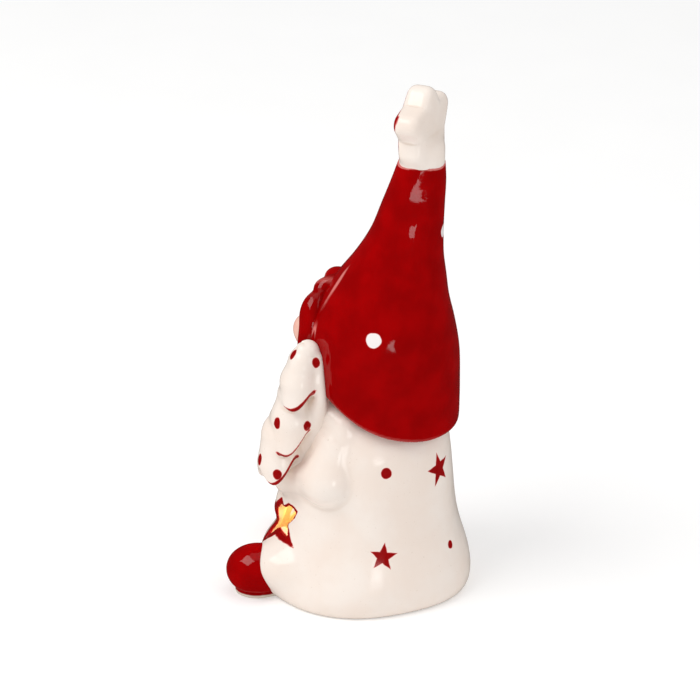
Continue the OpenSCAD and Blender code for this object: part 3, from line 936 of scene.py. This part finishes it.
# ---------------------------------------------------------------- the ceramic pieces
red_plain = hat_glaze("red_glaze", [])
pieces = [
    (clay("robe_cast", "robe", robe, (-40, -40, -1.5), (40, 40, 71), 0.8,
          robe_glaze("robe_glaze"),
          lambda p: {"window": window_paint(p), "depth": -robe_solid(p) - 1.5}), "white_glaze"),
    (clay("hat_cast", "hat", hat, (-29, -23, 57), (29, 36, HAT_TOP + 1.5), 0.75,
          hat_glaze("hat_glaze", HAT_DOTS)), "red_glaze"),
    (clay("brim_roll", "hat_brim", hat_brim, (-19, -22.5, 70), (19, -1, 110), 0.5,
          red_plain), "red_glaze"),
    (clay("star_topper", "hat_star", hat_star, (-16, 12, 152), (16, 30, 184), 0.45,
          star_glaze("star_glaze"), star_edge), "white_glaze"),
    (clay("fir_tree", "tree", tree, (3, -38, 34), (34, 1, 96), 0.45, tree_glaze("tree_glaze"),
          lambda p: {"rim": tree_rim(p)}), "white_glaze"),
    (clay("face", "head", head, (-23, -21, 61), (23, 26, 105), 0.8,
          skin_glaze("skin_glaze")), "skin_glaze"),
    (clay("nose_ball", "nose", nose, (-7, -27, 80), (7, -12, 94), 0.35,
          blush_glaze("nose_glaze")), "skin_glaze"),
    (clay("beard_locks", "beard", beard, (-16, -28, 44), (16, -8, 87), 0.4,
          white_glaze("beard_glaze")), "beard_glaze"),
]
sleeve_look = white_glaze("sleeve_glaze")
hand_look = blush_glaze("hand_glaze")
for side, word in ((1, "left"), (-1, "right")):
    x_span = sorted((side * 8, side * 37))
    pieces.append((clay(f"{word}_sleeve_cast", f"{word}_sleeve",
                        lambda p, side=side: sleeve_form(p, side) - 0.05,
                        (x_span[0], -33, 29), (x_span[1], 8, 69), 0.6, sleeve_look),
                   "white_glaze"))
    x_span = sorted((side * 2, side * 18))
    pieces.append((clay(f"{word}_hand_cast", f"{word}_hand",
                        lambda p, side=side: hand(p, side),
                        (x_span[0], -32, 36), (x_span[1], -20, 51), 0.35, hand_look),
                   "skin_glaze"))
    x_span = sorted((side * 9, side * 36))
    pieces.append((clay(f"{word}_shoe_cast", f"{word}_shoe",
                        lambda p, side=side: shoe(p, side),
                        (x_span[0], -42, -1), (x_span[1], -9, 18), 0.5, red_plain),
                   "red_glaze"))

# ---------------------------------------------------------------- stage, lights and camera
FLOOR_HALF = 6.0


def floor():
    mesh = bpy.data.meshes.new("floor")
    s = FLOOR_HALF
    mesh.from_pydata([(-s, -s, 0), (s, -s, 0), (s, s, 0), (-s, s, 0)], [], [(0, 1, 2, 3)])
    made = bpy.data.objects.new("floor", mesh)
    bpy.context.scene.collection.objects.link(made)
    look = Shader("paper_floor")
    paper = look.mix(look.noise(40.0, 2.0), (0.83,) * 3, (0.86,) * 3)
    look.put(look.bsdf.inputs["Base Color"], paper)
    look.bsdf.inputs["Roughness"].default_value = 0.9
    look.bsdf.inputs["Specular IOR Level"].default_value = 0.0
    look.bsdf.inputs["Emission Color"].default_value = (1, 1, 1, 1)
    look.bsdf.inputs["Emission Strength"].default_value = 0.24
    mesh.materials.append(look.material)
    made.visible_glossy = False
    return made


floor()

VIEW_AZ = 108
VIEW_EL = 23.5
VIEW_DISTANCE = 1.10
VIEW_TARGET = Vector((0.0014, -0.0042, 0.0842))
VIEW_LENS_MM = 167.17
SENSOR_MM = 36.0


def aim(thing, towards):
    """Turns a camera or light so that it looks at a point."""
    back = (thing.location - towards).normalized()
    right = Vector((0, 0, 1)).cross(back).normalized()
    thing.rotation_euler = Matrix((right, back.cross(right), back)).transposed().to_euler()


def round_figure(azimuth, elevation, distance, target):
    a, e = math.radians(azimuth), math.radians(elevation)
    return target + distance * Vector((math.sin(a) * math.cos(e), -math.cos(a) * math.cos(e),
                                       math.sin(e)))


camera = bpy.data.objects.new("camera", bpy.data.cameras.new("camera"))
bpy.context.scene.collection.objects.link(camera)
camera.location = round_figure(VIEW_AZ, VIEW_EL, VIEW_DISTANCE, VIEW_TARGET)
aim(camera, VIEW_TARGET)
camera.data.sensor_width = SENSOR_MM
camera.data.lens = VIEW_LENS_MM
bpy.context.scene.camera = camera


def softbox(name, azimuth, elevation, distance, width, height, watts, colour=(1, 1, 1)):
    lamp = bpy.data.lights.new(name, "AREA")
    lamp.shape = "RECTANGLE"
    lamp.size, lamp.size_y = width, height
    lamp.energy = watts
    lamp.color = colour
    made = bpy.data.objects.new(name, lamp)
    bpy.context.scene.collection.objects.link(made)
    target = Vector((0, 0, 0.09))
    made.location = round_figure(azimuth, elevation, distance, target)
    aim(made, target)
    return made


softbox("key_softbox", 45, 50, 1.3, 0.9, 0.6, 7.2, (1.0, 0.985, 0.96))
softbox("fill_softbox", 170, 35, 1.6, 0.8, 0.9, 2.1, (0.98, 0.99, 1.0))
softbox("top_softbox", 108, 84, 1.4, 1.2, 1.0, 2.0)
# a low card at the left of the figure, there for its reflection in the glaze only
card = softbox("side_card", 121, -3, 0.30, 0.075, 0.05, 0.052)
card.visible_camera = card.visible_diffuse = False
glow = bpy.data.objects.new("led_glow", bpy.data.lights.new("led_glow", "POINT"))
bpy.context.scene.collection.objects.link(glow)
glow.location = Vector(middle("diffuser") / MM) + Vector((0, 0, 0.012))
glow.data.energy = 0.030
glow.data.color = LIGHT_COLOUR[:3]
glow.data.shadow_soft_size = 0.004
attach(glow, "light_unit")

world = bpy.data.worlds.new("studio")
bpy.context.scene.world = world
world.use_nodes = True
background = world.node_tree.nodes["Background"]
path = world.node_tree.nodes.new("ShaderNodeLightPath")
# the white backdrop, the soft light it gives, and how faint it is in reflections
strength = {"Is Camera Ray": 1.02, "Is Diffuse Ray": 0.62, "Is Glossy Ray": 0.03}
total = None
for ray, level in strength.items():
    step = world.node_tree.nodes.new("ShaderNodeMath")
    step.operation = "MULTIPLY_ADD"
    world.node_tree.links.new(path.outputs[ray], step.inputs[0])
    step.inputs[1].default_value = level
    step.inputs[2].default_value = 0.0
    if total:
        world.node_tree.links.new(total, step.inputs[2])
    total = step.outputs[0]
world.node_tree.links.new(total, background.inputs["Strength"])
background.inputs["Color"].default_value = (1, 1, 1, 1)
bpy.context.scene.view_settings.view_transform = "Standard"
